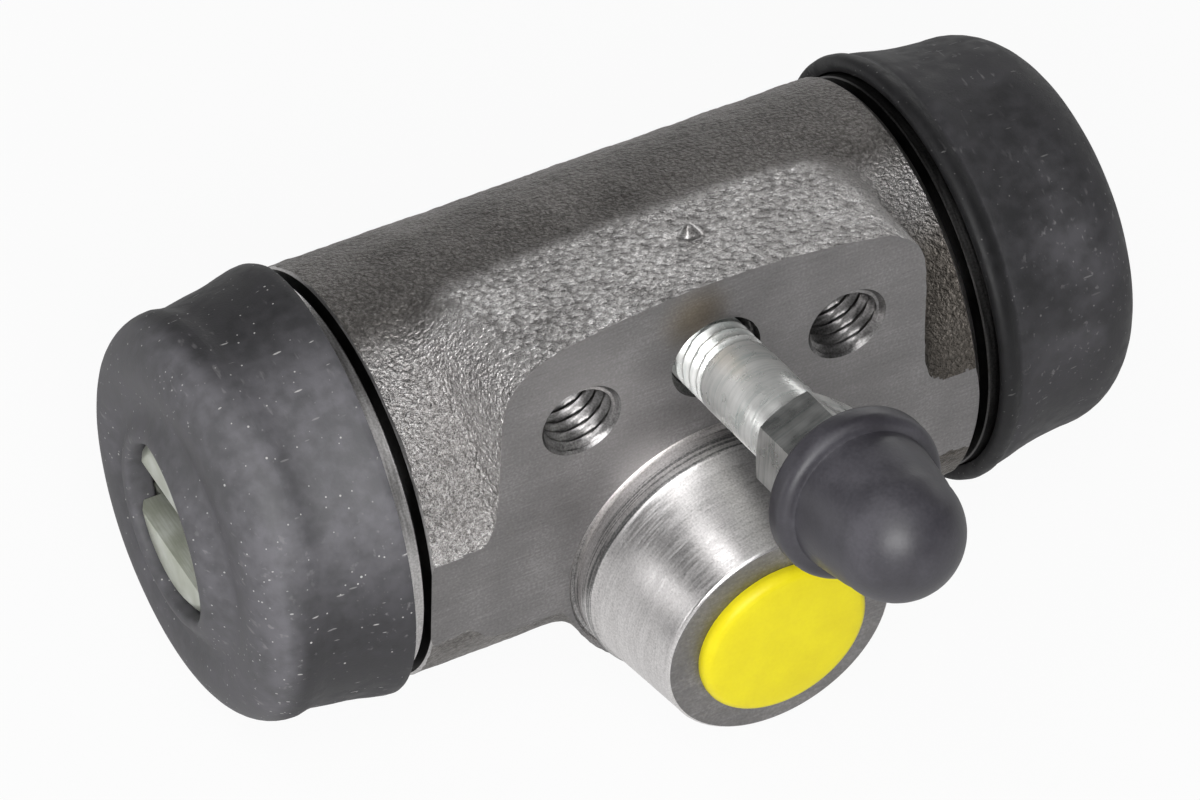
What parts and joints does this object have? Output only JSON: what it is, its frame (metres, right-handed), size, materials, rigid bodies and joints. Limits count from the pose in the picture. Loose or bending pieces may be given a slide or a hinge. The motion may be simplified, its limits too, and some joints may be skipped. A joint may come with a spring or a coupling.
{
  "type": "wheel cylinder",
  "caption": "Double-ended drum brake wheel cylinder: cast barrel with a mounting face, pilot boss and tapped holes, sprung pistons under rubber boots, a capped bleed screw and a plugged inlet port.",
  "frame": {"origin": "where the axis of the pilot boss crosses the mounting face", "axes": "+X along the bore, -Y out of the mounting face along the pilot boss, +Z towards the tapped holes and the bleed screw"},
  "size_m": [0.0725, 0.0599, 0.041],
  "materials": {
    "casting": "oiled as-cast iron with machined faces",
    "piston": "yellow-green passivated steel",
    "seal": "smooth black rubber",
    "spring_steel": "plain spring steel",
    "boot": "dusty charcoal rubber",
    "zinc_steel": "zinc plated",
    "cap": "charcoal rubber",
    "plug": "bright yellow plastic"
  },
  "bodies": {
    "housing": {"cylinder_body": "casting", "dust_boot_left": "boot", "dust_boot_right": "boot", "return_spring": "spring_steel"},
    "left_piston": {"piston_left": "piston", "cup_seal_left": "seal", "spring_seat_left": "spring_steel"},
    "right_piston": {"piston_right": "piston", "cup_seal_right": "seal", "spring_seat_right": "spring_steel"},
    "bleeder": {"bleed_screw": "zinc_steel"},
    "bleeder_cap": {"bleed_cap": "cap"},
    "inlet_plug": {"port_plug": "plug"}
  },
  "joints": [
    {"name": "left_piston_slide", "type": "slide", "parent": "housing", "child": "left_piston", "axis": [-1, 0, 0], "range_m": [-0.0015, 0.006], "deforming": ["dust_boot_left", "return_spring"]},
    {"name": "right_piston_slide", "type": "slide", "parent": "housing", "child": "right_piston", "axis": [1, 0, 0], "range_m": [-0.0035, 0.005], "deforming": ["dust_boot_right", "return_spring"]},
    {"name": "bleed_screw_turn", "type": "hinge", "parent": "housing", "child": "bleeder", "pos_m": [0, 0, 0.01775], "axis": [0, -0.9781, 0.2079], "range_deg": [0, 360]},
    {"name": "bleed_cap_pull", "type": "slide", "parent": "bleeder", "child": "bleeder_cap", "axis": [0, -0.9781, 0.2079], "range_m": [0, 0.014]},
    {"name": "port_plug_pull", "type": "slide", "parent": "housing", "child": "inlet_plug", "axis": [0, -1, 0], "range_m": [0, 0.009]}
  ]
}
